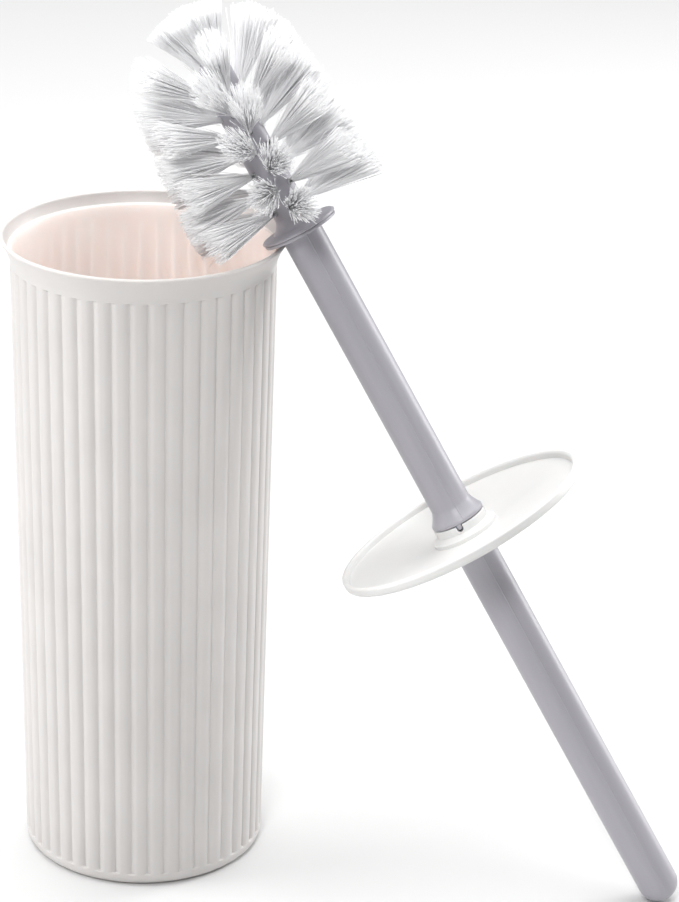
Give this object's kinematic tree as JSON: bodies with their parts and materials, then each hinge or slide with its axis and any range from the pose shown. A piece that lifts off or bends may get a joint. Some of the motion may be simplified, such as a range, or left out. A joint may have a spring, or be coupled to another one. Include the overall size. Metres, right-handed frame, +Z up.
{
  "type": "toilet brush holder",
  "caption": "Tall ribbed plastic canister with a long-handled toilet brush leaning out of it, round lid on its stick, bristle head on the lip.",
  "frame": {"origin": "centre of the canister's flat base, on the floor", "axes": "+Z up along the canister's axis; +X towards the side on which the brush's foot stands; the pictured front faces -Y"},
  "size_m": [0.2704, 0.1324, 0.3501],
  "materials": {
    "white_plastic": "satin moulded polypropylene",
    "grey_plastic": "satin moulded polypropylene",
    "bristle": "white nylon bristle",
    "anchor_wire": "flat drawn wire"
  },
  "bodies": {
    "canister": {"canister": "white_plastic"},
    "stick": {"stick": "grey_plastic"},
    "lid": {"lid": "white_plastic"},
    "head": {"head_core": "grey_plastic", "tufts_ring_1": "bristle", "tufts_ring_2": "bristle", "tufts_ring_3": "bristle", "tufts_ring_4": "bristle", "tufts_ring_5": "bristle", "tufts_ring_6": "bristle", "tufts_ring_7": "bristle", "tufts_crown": "bristle", "tuft_tip": "bristle", "anchors_ring_1": "anchor_wire", "anchors_ring_2": "anchor_wire", "anchors_ring_3": "anchor_wire", "anchors_ring_4": "anchor_wire", "anchors_ring_5": "anchor_wire", "anchors_ring_6": "anchor_wire", "anchors_ring_7": "anchor_wire", "anchors_crown": "anchor_wire", "anchor_tip": "anchor_wire"}
  },
  "joints": [
    {"name": "brush_lift", "type": "slide", "parent": "canister", "child": "stick", "axis": [0, 0, 1], "range_m": [0, 0.3]},
    {"name": "lid_slide", "type": "slide", "parent": "stick", "child": "lid", "axis": [0.4958, -0.1218, -0.8599], "range_m": [0, 0.12]},
    {"name": "head_pull", "type": "slide", "parent": "stick", "child": "head", "axis": [-0.4958, 0.1218, 0.8599], "range_m": [0, 0.03]}
  ]
}
